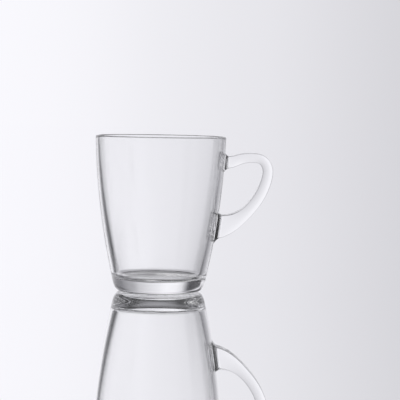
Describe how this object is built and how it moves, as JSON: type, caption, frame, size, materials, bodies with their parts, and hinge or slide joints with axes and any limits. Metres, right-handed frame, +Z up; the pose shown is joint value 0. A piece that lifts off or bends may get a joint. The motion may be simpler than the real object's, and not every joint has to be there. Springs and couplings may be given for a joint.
{
  "type": "glass mug",
  "caption": "Clear glass mug with a tapered body, thick base, rounded lip and fused ear-shaped handle, for hot or cold drinks.",
  "frame": {"origin": "on the mug's axis, in the plane of the foot ring that it stands on", "axes": "+Z up along the mug's axis, +X towards the handle, which lies in the XZ plane"},
  "size_m": [0.115, 0.0844, 0.1],
  "materials": {
    "bowl_glass": "clear pressed soda-lime glass, fire-polished, faint grey-green in the thick base",
    "handle_glass": "clear pressed soda-lime glass, fire-polished"
  },
  "bodies": {
    "root": {"bowl": "bowl_glass", "handle": "handle_glass"}
  },
  "joints": []
}
